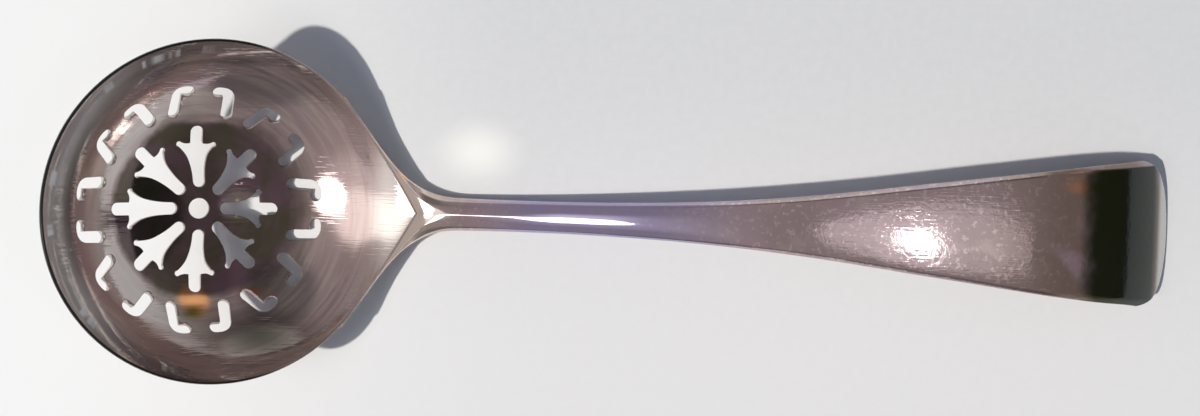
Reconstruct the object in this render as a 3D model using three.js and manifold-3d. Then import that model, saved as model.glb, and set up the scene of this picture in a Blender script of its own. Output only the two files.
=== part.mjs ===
// Sifter spoon: a pierced round bowl soldered into the forked neck of an arched handle
// whose broad end turns down. Millimetres, +Z up. The origin is the spot where the bowl
// rests on the table, and +X runs towards the end of the handle.
import * as THREE from 'three';
import { mergeVertices } from 'three/addons/utils/BufferGeometryUtils.js';
import Module from 'manifold-3d';

const wasm = await Module();
wasm.setup();

// Bowl: a shallow dome, tipped so that its front edge stands high
const rimRadius = 23.6;
const bowlDepth = 12.8;
const bowlTilt = THREE.MathUtils.degToRad(35);
const bowlWall = 1.0;
const rimWall = 0.55;
const rimThinning = 6;
const bowlWear = 0.1;

// Pointed lip that carries the hollow up to the ridge of the stem
const lipSpread = THREE.MathUtils.degToRad(40);
const lipLength = 4;
const lipReach = 3.6;
const lipRise = 3.3;
const lipSlope = THREE.MathUtils.degToRad(41);
const lipShoulder = 5.5;
const lipFlank = new THREE.Vector3(-1.9, 4.3, -1.5);

// Piercing, measured along the dome from its middle; it drifts to the front beyond the eye
const spokes = 8;
const eyeRadius = 1.5;
const piercingDrift = 1.1;
const driftStart = 2;
const driftEnd = 12;
const sprayStart = 3.1;
const sprayEnd = 12.4;
const shaftHalf = 0.88;
const waistReach = 7.6;
const waistHalf = 1.45;
const waistRun = 1.5;
const barbReach = 9.5;
const barbHalf = 2.5;
const barbRound = 0.45;
const barbHollow = 0.7;
const barbLift = 0.3;
const crotchReach = 9.7;
const crotchDepth = 0.25;
const lobeHalf = 0.92;
const hookStart = 13.6;
const hookEnd = 18.9;
const hookInner = 1.4;
const hookOuter = 4.85;
const hookStroke = 1.75;
const hookBend = 2.3;

// Handle: its middle line climbs from the neck to a crest and turns down to the table
const crestReach = 102;
const crestHeight = 12.95;
const handleReach = 123.3;
const neckAngle = THREE.MathUtils.degToRad(2);
const endAngle = THREE.MathUtils.degToRad(56);
const neckPull = 23;
const climbPull = 48;
const turnPull = 8.5;
const endPull = 6.9;
const neckOverlap = 1.5;
const endWear = 0.3;

// Half widths and thicknesses of the handle at shares of its length
const halfWidths = [
  [0, 2.6], [0.13, 2.3], [0.26, 2.4], [0.39, 3.0], [0.52, 4.3], [0.68, 6.7], [0.85, 9.15], [1, 10.2],
];
const thicknesses = [[0, 3.0], [0.13, 2.7], [0.5, 2.3], [0.8, 1.8], [1, 1.5]];
const squareness = [[0, 2.1], [0.4, 2.4], [0.7, 4], [1, 6]];
const endRounding = 7.5;
const endSquareness = 2.3;
const endBlend = 24;
const edgeRadius = 0.6;

// Fork and drop: the handle's shoulders beside the lip and its heel under the bowl
const forkLength = 6.6;
const forkInset = 0.1;
const forkRootShare = 0.8;
const armLap = 1.1;
const armTip = 0.15;
const shoulderPull = 8.5;
const filletPull = 9.6;
const filletRise = 0.2;
const armThickness = 1.1;
const seatInset = 1.5;
const dropSetBack = 2.4;
const dropClearance = 0.55;
const dropSlope = THREE.MathUtils.degToRad(6);
const dropHalfLength = 7;
const dropHalfWidth = 3.2;
const dropHalfHeight = 1.35;

// Hard solder between the bowl and the handle, clear of both
const solderFilm = 0.15;
const solderGap = 0.05;

// Fineness of the faceted surfaces
const around = 96;
const domeRings = 13;
const handleStations = 46;
const stationCrowding = 1.35;
const sectionSides = 24;
const forkSteps = 12;
const curveSteps = 5;
const eyeSides = 24;
const dropSides = 32;
const dropBands = 16;
const normalStep = 1e-3;
const weldDistance = 1e-5;

// Sizes that follow from the ones above
const innerRadius = (rimRadius ** 2 + bowlDepth ** 2) / (2 * bowlDepth);
const outerRadius = innerRadius + bowlWall;
const rimLevel = bowlDepth - innerRadius;
const rimAngle = Math.atan2(rimRadius, -rimLevel);
const rootAngle = rimAngle - lipLength / innerRadius;
const tableSpan = 4 * handleReach;

// Solid from a closed geometry, and geometry from a solid
function solid(geometry) {
  geometry.deleteAttribute('normal');
  geometry.deleteAttribute('uv');
  const merged = mergeVertices(geometry, weldDistance);
  const vertProperties = new Float32Array(merged.attributes.position.array);
  const triVerts = new Uint32Array(merged.index.array);
  return new wasm.Manifold(new wasm.Mesh({ numProp: 3, vertProperties, triVerts }));
}

function surface(manifold) {
  const mesh = manifold.getMesh();
  const geometry = new THREE.BufferGeometry();
  geometry.setAttribute('position', new THREE.BufferAttribute(mesh.vertProperties, 3));
  geometry.setIndex(new THREE.BufferAttribute(mesh.triVerts, 1));
  geometry.computeVertexNormals();
  return geometry;
}

// Closed skin over rings of equal length, each end closed to its middle point
function skin(rings) {
  const sides = rings[0].length;
  const points = rings.flat();
  const index = [];
  for (let r = 0; r < rings.length - 1; r += 1) {
    for (let i = 0; i < sides; i += 1) {
      const a = r * sides + i;
      const b = r * sides + ((i + 1) % sides);
      index.push(a, b, b + sides, a, b + sides, a + sides);
    }
  }
  for (const [first, turned] of [[0, true], [(rings.length - 1) * sides, false]]) {
    const ring = points.slice(first, first + sides);
    const middle = ring.reduce((sum, p) => sum.add(p), new THREE.Vector3()).divideScalar(sides);
    points.push(middle);
    for (let i = 0; i < sides; i += 1) {
      const pair = [first + i, first + ((i + 1) % sides)];
      index.push(...(turned ? pair.reverse() : pair), points.length - 1);
    }
  }
  const geometry = new THREE.BufferGeometry().setFromPoints(points);
  geometry.setIndex(index);
  return geometry;
}

// Smooth value at a place between the listed ones
function between(list, place) {
  const last = list.length - 1;
  const k = Math.min(last - 1, Math.max(0, list.findIndex((pair) => pair[0] >= place) - 1));
  const slope = (i) => {
    const [before, after] = [list[Math.max(0, i - 1)], list[Math.min(last, i + 1)]];
    return (after[1] - before[1]) / (after[0] - before[0]);
  };
  const [[x0, y0], [x1, y1]] = [list[k], list[k + 1]];
  const step = x1 - x0;
  const t = Math.min(1, Math.max(0, (place - x0) / step));
  const ease = t * t * (3 - 2 * t);
  const leave = t * (1 - t) ** 2 * slope(k) * step;
  const arrive = t * t * (t - 1) * slope(k + 1) * step;
  return y0 + (y1 - y0) * ease + leave + arrive;
}

// The bowl's own frame has the dome's centre as origin and +X towards the handle
const bowlFrame = new THREE.Group();
bowlFrame.rotation.y = bowlTilt;
bowlFrame.position.z = outerRadius - bowlWear;
bowlFrame.updateMatrixWorld();

function onDome(angle, turn, radius = innerRadius) {
  const flat = radius * Math.sin(angle);
  return new THREE.Vector3(flat * Math.cos(turn), flat * Math.sin(turn), -radius * Math.cos(angle));
}

const lipTip = new THREE.Vector3(rimRadius + lipReach, 0, rimLevel + lipRise);
const lipStart = onDome(rimAngle, lipSpread);
const alongRim = new THREE.Vector3(Math.sin(lipSpread), -Math.cos(lipSpread), 0);
const lipEdge = new THREE.CubicBezierCurve3(
  lipStart,
  lipStart.clone().addScaledVector(alongRim, lipShoulder),
  lipTip.clone().add(lipFlank),
  lipTip,
);

// Inner face of the bowl: share runs from the middle (0) to the edge (1)
function hollow(turn, share) {
  const angle = share * rimAngle;
  const side = Math.abs(Math.atan2(Math.sin(turn), Math.cos(turn)));
  if (side >= lipSpread || angle <= rootAngle) return onDome(angle, turn);
  const along = 1 - side / lipSpread;
  const edge = lipEdge.getPoint(along);
  if (Math.sin(turn) < 0) edge.y = -edge.y;
  const from = onDome(rootAngle, turn);
  const leave = new THREE.Vector3(
    Math.cos(rootAngle) * Math.cos(turn), Math.cos(rootAngle) * Math.sin(turn), Math.sin(rootAngle),
  );
  const slope = THREE.MathUtils.lerp(rimAngle, lipSlope, THREE.MathUtils.smoothstep(along, 0, 1));
  const arrive = new THREE.Vector3(
    Math.cos(slope) * Math.cos(turn), Math.cos(slope) * Math.sin(turn), Math.sin(slope),
  );
  const reach = from.distanceTo(edge) / 3;
  const path = new THREE.CubicBezierCurve3(
    from,
    from.clone().addScaledVector(leave, reach),
    edge.clone().addScaledVector(arrive, -reach),
    edge,
  );
  return path.getPoint((angle - rootAngle) / (rimAngle - rootAngle));
}

// Back of the bowl, any distance out from its wall
function back(turn, share, clear = 0) {
  const point = hollow(turn, share);
  const across = hollow(turn + normalStep, share).sub(hollow(turn - normalStep, share));
  const outwards = hollow(turn, share + normalStep).sub(hollow(turn, share - normalStep));
  const normal = across.cross(outwards).normalize();
  const fromEdge = (1 - share) * rimAngle * innerRadius;
  const wall = THREE.MathUtils.lerp(rimWall, bowlWall, Math.min(1, fromEdge / rimThinning));
  return point.addScaledVector(normal, wall + clear);
}

const turns = Array.from({ length: around }, (_, i) => (i / around) * 2 * Math.PI);
const shares = Array.from({ length: domeRings }, (_, i) => (i + 1) / domeRings);

// Dish with its wall, before it is pierced
function dish() {
  const inside = shares.map((share) => turns.map((turn) => hollow(turn, share)));
  const outside = shares.map((share) => turns.map((turn) => back(turn, share)));
  return skin([...outside, ...inside.reverse()]);
}

// Body that fills the hollow and the wall, grown outwards by a clearance
function plug(clear) {
  const outside = shares.map((share) => turns.map((turn) => back(turn, share, clear)));
  const rise = new THREE.Vector3(0, 0, bowlDepth);
  const above = turns.map((turn) => back(turn, 1, clear).add(rise));
  const geometry = skin([...outside, above]);
  return solid(geometry.applyMatrix4(bowlFrame.matrixWorld));
}

// Piercing: outlines drawn flat, then laid on the dome
function spray() {
  const shape = new THREE.Shape();
  const shaftRound = sprayStart + shaftHalf;
  const lobeRound = sprayEnd - lobeHalf;
  const crotchMiddle = (barbHalf + lobeHalf) / 2;
  const barbTop = barbReach + barbRound;
  shape.moveTo(sprayStart, 0);
  shape.absarc(shaftRound, 0, shaftHalf, Math.PI, 1.5 * Math.PI, false);
  shape.quadraticCurveTo(waistReach - waistRun, -shaftHalf, waistReach, -waistHalf);
  shape.quadraticCurveTo(waistReach + barbHollow, -waistHalf - barbLift, barbReach - barbRound, -barbHalf);
  shape.absarc(barbReach, -barbHalf, barbRound, Math.PI, 2 * Math.PI, false);
  shape.quadraticCurveTo(crotchReach - crotchDepth, -crotchMiddle, crotchReach, -lobeHalf);
  shape.absarc(lobeRound, 0, lobeHalf, -0.5 * Math.PI, 0.5 * Math.PI, false);
  shape.lineTo(crotchReach, lobeHalf);
  shape.quadraticCurveTo(crotchReach - crotchDepth, crotchMiddle, barbTop, barbHalf);
  shape.absarc(barbReach, barbHalf, barbRound, 0, Math.PI, false);
  shape.quadraticCurveTo(waistReach + barbHollow, waistHalf + barbLift, waistReach, waistHalf);
  shape.quadraticCurveTo(waistReach - waistRun, shaftHalf, shaftRound, shaftHalf);
  shape.absarc(shaftRound, 0, shaftHalf, 0.5 * Math.PI, Math.PI, false);
  return shape.getPoints(curveSteps);
}

function hook(side) {
  const shape = new THREE.Shape();
  const round = hookStroke / 2;
  const elbow = hookEnd - hookStroke;
  const inside = hookOuter - hookStroke;
  shape.moveTo(hookStart + round, inside);
  shape.lineTo(elbow, inside);
  shape.lineTo(elbow, hookInner + round);
  shape.absarc(elbow + round, hookInner + round, round, Math.PI, 2 * Math.PI, false);
  shape.lineTo(hookEnd, hookOuter - hookBend);
  shape.quadraticCurveTo(hookEnd, hookOuter, hookEnd - hookBend, hookOuter);
  shape.lineTo(hookStart + round, hookOuter);
  shape.absarc(hookStart + round, inside + round, round, 0.5 * Math.PI, 1.5 * Math.PI, false);
  const points = shape.getPoints(curveSteps);
  return side > 0 ? points : points.map((p) => new THREE.Vector2(p.x, -p.y)).reverse();
}

function cutter(points, turn) {
  const laid = points.map((p) => {
    const drift = piercingDrift * THREE.MathUtils.smoothstep(p.length(), driftStart, driftEnd);
    const place = p.clone().rotateAround(new THREE.Vector2(), turn);
    place.x -= drift;
    const away = place.length();
    return place.setLength(innerRadius * Math.sin(away / innerRadius));
  });
  const geometry = new THREE.ExtrudeGeometry(new THREE.Shape(laid), { depth: outerRadius, bevelEnabled: false });
  geometry.translate(0, 0, -outerRadius - bowlWall);
  return solid(geometry);
}

function pierced(bowl) {
  const eye = new THREE.CylinderGeometry(eyeRadius, eyeRadius, 2 * outerRadius, eyeSides);
  eye.rotateX(Math.PI / 2).translate(0, 0, -outerRadius);
  let cut = bowl.subtract(solid(eye));
  for (let i = 0; i < spokes; i += 1) {
    const turn = (i / spokes) * 2 * Math.PI;
    for (const outline of [spray(), hook(1), hook(-1)]) cut = cut.subtract(cutter(outline, turn));
  }
  return cut;
}

// Everything below the table, in which worn flats are cut
function belowTable() {
  const block = new THREE.BoxGeometry(tableSpan, tableSpan, outerRadius);
  return block.translate(0, 0, -outerRadius / 2);
}

// The handle's middle line, in the upright plane through the bowl's middle
const tipPlace = lipTip.clone().applyMatrix4(bowlFrame.matrixWorld);
const neckStart = new THREE.Vector3(tipPlace.x - neckOverlap, 0, tipPlace.z - thicknesses[0][1] / 2);
const crest = new THREE.Vector3(crestReach, 0, crestHeight);
const endDrop = new THREE.Vector3(Math.cos(endAngle), 0, -Math.sin(endAngle));
const endHalf = edgeRadius / 2;
const handleEnd = new THREE.Vector3(handleReach, 0, endHalf * Math.cos(endAngle) - endWear);
const midline = new THREE.CurvePath();
midline.add(new THREE.CubicBezierCurve3(
  neckStart,
  neckStart.clone().add(new THREE.Vector3(neckPull * Math.cos(neckAngle), 0, neckPull * Math.sin(neckAngle))),
  new THREE.Vector3(crest.x - climbPull, 0, crest.z),
  crest,
));
midline.add(new THREE.CubicBezierCurve3(
  crest,
  new THREE.Vector3(crest.x + turnPull, 0, crest.z),
  handleEnd.clone().addScaledVector(endDrop, -endPull),
  handleEnd,
));
const handleLength = midline.getLength();

// One section of the handle; near the end it bends to the rounded outline
function section(along) {
  const share = along / handleLength;
  const half = between(halfWidths, share);
  const toEnd = Math.max(0, along - (handleLength - edgeRadius)) / edgeRadius;
  const thin = Math.max(edgeRadius / thicknesses.at(-1)[1], Math.sqrt(1 - toEnd ** 2));
  const depth = (between(thicknesses, share) / 2) * thin;
  const power = between(squareness, share);
  const bend = THREE.MathUtils.clamp((along - (handleLength - endBlend)) / endBlend, 0, 1) ** 2;
  return Array.from({ length: sectionSides }, (_, i) => {
    const turn = (i / sectionSides) * 2 * Math.PI;
    const across = half * Math.cos(turn);
    const fullness = Math.max(0, 1 - Math.abs(Math.cos(turn)) ** power) ** (1 / power);
    const up = depth * Math.sign(Math.sin(turn)) * fullness;
    const rounded = Math.max(0, 1 - Math.abs(Math.cos(turn)) ** endSquareness) ** (1 / endSquareness);
    const setBack = bend * endRounding * (1 - rounded);
    const place = Math.max(0, along - setBack) / handleLength;
    const point = midline.getPointAt(place);
    const run = midline.getTangentAt(place);
    point.add(new THREE.Vector3(-run.z * up, across, run.x * up));
    return point;
  });
}

function stem() {
  const spaced = Array.from({ length: handleStations }, (_, i) => {
    const share = i / (handleStations - 1);
    return handleLength * (1 - (1 - share) ** stationCrowding);
  });
  return solid(skin(spaced.map(section)));
}

// Forked shoulders: a plate from the lip's edge out to the hollow curve of the neck
const forkShare = (neckOverlap + forkLength) / handleLength;
const forkHalf = between(halfWidths, forkShare) - forkInset;
const forkEnd = new THREE.Vector3(tipPlace.x + forkLength, forkHalf, midline.getPointAt(forkShare).z);

function forkOutline() {
  const clear = rimWall + solderFilm + 2 * solderGap + armTip;
  const start = onDome(rimAngle, lipSpread * armLap, innerRadius + clear).applyMatrix4(bowlFrame.matrixWorld);
  const leave = alongRim.clone().transformDirection(bowlFrame.matrixWorld);
  return new THREE.CubicBezierCurve3(
    start,
    start.clone().addScaledVector(leave, shoulderPull),
    forkEnd.clone().add(new THREE.Vector3(-filletPull, -filletRise, 0)),
    forkEnd,
  );
}

function fork() {
  const outer = forkOutline();
  const inner = (t) => {
    const point = lipEdge.getPoint(t);
    const inwards = new THREE.Vector3(-point.x, -point.y, 0).setLength(seatInset);
    return point.add(inwards).applyMatrix4(bowlFrame.matrixWorld);
  };
  const ring = (side, t) => {
    const drop = THREE.MathUtils.lerp(armThickness, thicknesses[0][1] * forkRootShare, t);
    const near = inner(t);
    const far = outer.getPoint(t);
    near.y *= side;
    far.y *= side;
    return [near, near.clone().setZ(near.z - drop), far.clone().setZ(far.z - drop / 2), far];
  };
  const steps = Array.from({ length: forkSteps + 1 }, (_, i) => i / forkSteps);
  const middle = ring(0, 1);
  const left = steps.map((t) => ring(1, t));
  const right = steps.map((t) => ring(-1, t)).reverse();
  return solid(skin([...left, middle, ...right]));
}

// Drop: the rounded heel under the bowl, which also closes the root of the stem
function heelDrop() {
  const drop = new THREE.SphereGeometry(1, dropSides, dropBands);
  drop.scale(dropHalfLength, dropHalfWidth, dropHalfHeight).rotateY(-dropSlope);
  return solid(drop.translate(tipPlace.x - dropSetBack, 0, dropClearance + dropHalfHeight));
}

const table = solid(belowTable());
const root = stem().add(fork()).add(heelDrop());
const forkSeat = plug(solderFilm + 2 * solderGap);
const solderBack = plug(solderFilm + solderGap);
const solderFace = plug(solderGap);

const silver = { metalness: 1, roughness: 0.22 };

const bowl = new THREE.Mesh(
  surface(pierced(solid(dish())).subtract(solid(belowTable().applyMatrix4(bowlFrame.matrixWorld.clone().invert())))),
  new THREE.MeshStandardMaterial({ color: 0xc9c2bd, ...silver }),
);
bowl.name = 'pierced_bowl';
bowlFrame.add(bowl);

const handle = new THREE.Mesh(
  surface(root.subtract(forkSeat).subtract(table)),
  new THREE.MeshStandardMaterial({ color: 0xc6bfbc, ...silver }),
);
handle.name = 'forked_handle';

const seam = new THREE.Mesh(
  surface(root.intersect(solderBack).subtract(solderFace)),
  new THREE.MeshStandardMaterial({ color: 0xa9a39c, metalness: 1, roughness: 0.4 }),
);
seam.name = 'solder_seam';

const spoon = new THREE.Group();
spoon.add(bowlFrame, handle, seam);

export default spoon;
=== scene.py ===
import math

import bmesh
import bpy
import numpy as np
from mathutils import Matrix, Vector


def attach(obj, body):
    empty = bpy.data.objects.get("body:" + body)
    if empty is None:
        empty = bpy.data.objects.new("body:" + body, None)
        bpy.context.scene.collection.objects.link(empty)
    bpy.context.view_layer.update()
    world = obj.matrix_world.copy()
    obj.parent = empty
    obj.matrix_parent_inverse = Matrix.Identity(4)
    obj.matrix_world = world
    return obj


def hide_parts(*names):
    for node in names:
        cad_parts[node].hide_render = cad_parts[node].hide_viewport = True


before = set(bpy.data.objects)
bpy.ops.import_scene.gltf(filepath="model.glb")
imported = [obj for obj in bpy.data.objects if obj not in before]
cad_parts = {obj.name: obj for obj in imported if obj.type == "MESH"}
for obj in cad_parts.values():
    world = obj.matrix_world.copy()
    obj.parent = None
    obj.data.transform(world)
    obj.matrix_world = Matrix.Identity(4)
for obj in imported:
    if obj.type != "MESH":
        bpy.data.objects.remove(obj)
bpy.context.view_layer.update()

# Sifter spoon of toned silver on a pale table. Metres. The origin is the spot where the
# bowl rests, +X runs towards the end of the handle and +Z is up, as in the frame.
MM = 0.001

# Bowl: a shallow dome, tipped so that its front edge stands high
rim_radius = 23.6 * MM
bowl_depth = 12.8 * MM
bowl_tilt = math.radians(35)
bowl_wall = 1.0 * MM
rim_wall = 0.55 * MM
rim_thinning = 6 * MM
rim_round = 0.15 * MM
bowl_wear = 0.1 * MM

# Pointed lip that carries the hollow up to the ridge of the stem
lip_spread = math.radians(40)
lip_length = 4 * MM
lip_reach = 3.6 * MM
lip_rise = 3.3 * MM
lip_slope = math.radians(41)
lip_shoulder = 5.5 * MM
lip_flank = np.array([-1.9, 4.3, -1.5]) * MM

# Piercing, measured along the dome from its middle; it drifts to the front beyond the eye
spokes = 8
eye_radius = 1.5 * MM
piercing_drift = 1.1 * MM
drift_start = 2 * MM
drift_end = 12 * MM
drift_stop = 20 * MM
spray_start = 3.1 * MM
spray_end = 12.4 * MM
shaft_half = 0.88 * MM
waist_reach = 7.6 * MM
waist_half = 1.45 * MM
waist_run = 1.5 * MM
barb_reach = 9.5 * MM
barb_half = 2.5 * MM
barb_round = 0.45 * MM
barb_hollow = 0.7 * MM
barb_lift = 0.3 * MM
crotch_reach = 9.7 * MM
crotch_depth = 0.25 * MM
lobe_half = 0.92 * MM
hook_start = 13.6 * MM
hook_end = 18.9 * MM
hook_inner = 1.4 * MM
hook_outer = 4.85 * MM
hook_stroke = 1.75 * MM
hook_bend = 2.3 * MM
edge_flare = 0.09 * MM
corner_limit = 0.5

# Handle: its middle line climbs from the neck to a crest and turns down to the table
crest_reach = 102 * MM
crest_height = 12.95 * MM
handle_reach = 123.3 * MM
neck_angle = math.radians(2)
end_angle = math.radians(56)
neck_pull = 23 * MM
climb_pull = 48 * MM
turn_pull = 8.5 * MM
end_pull = 6.9 * MM
neck_overlap = 1.5 * MM
end_wear = 0.3 * MM
width_places = [0, 0.13, 0.26, 0.39, 0.52, 0.68, 0.85, 1]
half_widths = np.array([2.6, 2.3, 2.4, 3.0, 4.3, 6.7, 9.15, 10.2]) * MM
thickness_places = [0, 0.13, 0.5, 0.8, 1]
thicknesses = np.array([3.0, 2.7, 2.3, 1.8, 1.5]) * MM
squareness_places = [0, 0.4, 0.7, 1]
squareness = [2.1, 2.4, 4, 6]
end_rounding = 7.5 * MM
end_squareness = 2.3
end_blend = 24 * MM
edge_radius = 0.6 * MM
bevel_width = 0.65 * MM
bevel_drop = 0.5 * MM
bevel_squareness = 12
bevel_from = 0.33
bevel_full = 0.5
crown = 0.2 * MM
end_thinnest = 0.25

# Fork: the shoulders beside the lip, the ridge between them and the drop under the bowl
arm_turn = math.radians(44)
arm_spacing = 1.3
arm_depth = 1.1 * MM
arm_top = 0.1
arm_squareness = 4
fork_length = 6.6 * MM
shoulder_pull = 8.5 * MM
fillet_pull = 9.6 * MM
ridge_height = 0.35 * MM
ridge_length = 16 * MM
ridge_sharpness = 1.5
flank_sharpness = 1.5
leave_share = 0.38
arrive_share = 0.45
drop_share = 0.2
drop_half = 3.2 * MM
drop_squareness = 2.1
solder_film = 0.15 * MM
bead_radius = 0.15 * MM

# Fineness of the meshes, and the gaps below which two places count as one
blank_sides = 240
blank_layers = 6
blank_rings = 52
eye_sides = 40
ring_sides = 96
spine_steps = 400
seat_rows = 8
fork_rows = 30
handle_rows = 230
end_crowding = 1.25
bead_sides = 10
crease = math.radians(50)
merged_gap = 1e-7
rim_gap = 1e-5
face_gap = 1e-4
no_gap = 1e-9

# Worked out from the sizes above
inner_radius = (rim_radius**2 + bowl_depth**2) / (2 * bowl_depth)
outer_radius = inner_radius + bowl_wall
rim_level = bowl_depth - inner_radius
rim_angle = math.atan2(rim_radius, -rim_level)
root_angle = rim_angle - lip_length / inner_radius
rim_arc = rim_angle * inner_radius
dome_centre = np.array([0, 0, outer_radius - bowl_wear])


# Small tools for shapes

def smooth(value):
    value = np.clip(value, 0, 1)
    return value * value * (3 - 2 * value)


def mix(a, b, share):
    return a + (b - a) * share


def length(vectors):
    return np.linalg.norm(vectors, axis=-1, keepdims=True)


def unit(vectors):
    return vectors / length(vectors)


def bezier(start, leave, arrive, end, share):
    t = np.asarray(share, float)[..., None]
    return (1 - t) ** 3 * start + 3 * (1 - t) ** 2 * t * leave + 3 * (1 - t) * t**2 * arrive + t**3 * end


def between(places, values, place):
    """Smooth value at a place between the listed ones."""
    places, values = np.asarray(places, float), np.asarray(values, float)
    ends = np.r_[0, np.arange(len(places)), len(places) - 1]
    slopes = (values[ends[2:]] - values[ends[:-2]]) / (places[ends[2:]] - places[ends[:-2]])
    k = np.clip(np.searchsorted(places, place) - 1, 0, len(places) - 2)
    step = places[k + 1] - places[k]
    t = np.clip((place - places[k]) / step, 0, 1)
    pulls = t * (1 - t) ** 2 * slopes[k] * step + t * t * (t - 1) * slopes[k + 1] * step
    return values[k] + (values[k + 1] - values[k]) * t * t * (3 - 2 * t) + pulls


def skin(name, rings, first_cap=False, last_cap=False):
    """Mesh over rings of equal length, given as an array of rows, sides and coordinates."""
    rings = np.asarray(rings, float)
    rows, sides = rings.shape[:2]
    index = np.arange(rows * sides).reshape(rows, sides)
    beside = np.roll(index, -1, axis=1)
    faces = np.stack([index[:-1], beside[:-1], beside[1:], index[1:]], axis=-1).reshape(-1, 4).tolist()
    faces += [index[0, ::-1].tolist()] * first_cap + [index[-1].tolist()] * last_cap
    mesh = bpy.data.meshes.new(name)
    mesh.from_pydata(rings.reshape(-1, 3).tolist(), [], faces)
    tidy = bmesh.new()
    tidy.from_mesh(mesh)
    bmesh.ops.remove_doubles(tidy, verts=tidy.verts, dist=merged_gap)
    bmesh.ops.dissolve_degenerate(tidy, edges=tidy.edges, dist=merged_gap)
    bmesh.ops.recalc_face_normals(tidy, faces=tidy.faces)
    tidy.to_mesh(mesh)
    tidy.free()
    return mesh


def place_object(name, mesh):
    piece = bpy.data.objects.new(name, mesh)
    bpy.context.scene.collection.objects.link(piece)
    return piece


def numbers(items, name):
    """One whole number for each of a mesh's faces or corners."""
    found = np.empty(len(items), int)
    items.foreach_get(name, found)
    return found


def triples(items, name):
    """Three numbers for each of a mesh's vertices or faces."""
    found = np.empty(len(items) * 3)
    items.foreach_get(name, found)
    return found.reshape(-1, 3)


# Small tools for node trees

def add(tree, kind, inputs=None, **settings):
    """New node; an input is a value, a node whose first output it takes, or a socket."""
    node = tree.nodes.new(kind)
    for key, value in settings.items():
        setattr(node, key, value)
    for key, value in (inputs or {}).items():
        if isinstance(value, bpy.types.Node):
            value = value.outputs[0]
        if isinstance(value, bpy.types.NodeSocket):
            tree.links.new(value, node.inputs[key])
        else:
            node.inputs[key].default_value = value
    return node


def geometry_tree(name, inputs):
    tree = bpy.data.node_groups.new(name, "GeometryNodeTree")
    for label, kind in {"Geometry": "Geometry", **inputs}.items():
        tree.interface.new_socket(label, in_out="INPUT", socket_type="NodeSocket" + kind)
    tree.interface.new_socket("Geometry", in_out="OUTPUT", socket_type="NodeSocketGeometry")
    return tree, tree.nodes.new("NodeGroupInput").outputs


def grown(name, tree, values, mesh=None):
    """Plain mesh that a tree grows on a mesh, with the tree's named inputs set."""
    stock = place_object(name, mesh or bpy.data.meshes.new(name))
    modifier = stock.modifiers.new(name, "NODES")
    modifier.node_group = tree
    for item in tree.interface.items_tree:
        if item.in_out == "INPUT" and item.name in values:
            modifier[item.identifier] = values[item.name]
    view = bpy.context.evaluated_depsgraph_get()
    made = bpy.data.meshes.new_from_object(stock.evaluated_get(view))
    bpy.data.objects.remove(stock)
    return made


# The bowl's faces, as functions of the turn about its axis and the share from middle to edge

def on_dome(angle, turn):
    out = inner_radius * np.sin(angle)
    down = inner_radius * np.cos(angle) + 0 * turn
    return np.stack([out * np.cos(turn), out * np.sin(turn), -down], axis=-1)


def heading(slope, turn):
    level = np.cos(slope)
    return np.stack([level * np.cos(turn), level * np.sin(turn), np.sin(slope) + 0 * turn], axis=-1)


def lip_edge(along):
    start = on_dome(rim_angle, lip_spread)
    rimwards = np.array([math.sin(lip_spread), -math.cos(lip_spread), 0])
    tip = np.array([rim_radius + lip_reach, 0, rim_level + lip_rise])
    return bezier(start, start + rimwards * lip_shoulder, tip + lip_flank, tip, along)


def hollow(turn, share):
    """Inner face of the bowl in its own frame, whose origin is the dome's centre."""
    turn = np.arctan2(np.sin(turn), np.cos(turn))
    angle = share * rim_angle
    along = np.clip(1 - np.abs(turn) / lip_spread, 0, 1)
    edge = lip_edge(along)
    edge[..., 1] *= np.where(turn < 0, -1, 1)
    start = on_dome(root_angle, turn)
    leave = heading(root_angle, turn)
    arrive = heading(mix(rim_angle, lip_slope, smooth(along)), turn)
    reach = length(edge - start) / 3
    reached = (angle - root_angle) / (rim_angle - root_angle)
    path = bezier(start, start + leave * reach, edge - arrive * reach, edge, reached)
    in_lip = (along > 0) & (angle > root_angle)
    return np.where(in_lip[..., None], path, on_dome(angle, turn))


def outwards(turn, share):
    """Unit normal of the bowl's wall towards its back, and unit direction towards its edge."""
    step = 1e-3
    share = np.clip(share, step, 1 - step)
    across = hollow(turn + step, share) - hollow(turn - step, share)
    along = hollow(turn, share + step) - hollow(turn, share - step)
    return unit(np.cross(across, along)), unit(along)


def wall_at(share):
    from_edge = (1 - share) * rim_arc
    return mix(rim_wall, bowl_wall, smooth(from_edge / rim_thinning))


def tipped(points, turned_only=False):
    """From the bowl's own frame to the spoon's."""
    turn = np.array(Matrix.Rotation(bowl_tilt, 3, "Y"))
    return points @ turn.T + (0 if turned_only else dome_centre)


# Piercing: outlines drawn flat, given a slope at both faces, and cut from a flat blank

def quadratic(start, pull, end, steps=6):
    t = np.linspace(0, 1, steps, endpoint=False)[:, None]
    return (1 - t) ** 2 * np.array(start) + 2 * (1 - t) * t * np.array(pull) + t * t * np.array(end)


def arc(centre, radius, first, last, steps=10):
    turn = np.radians(np.linspace(first, last, steps, endpoint=False))
    return np.array(centre) + radius * np.stack([np.cos(turn), np.sin(turn)], axis=-1)


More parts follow.
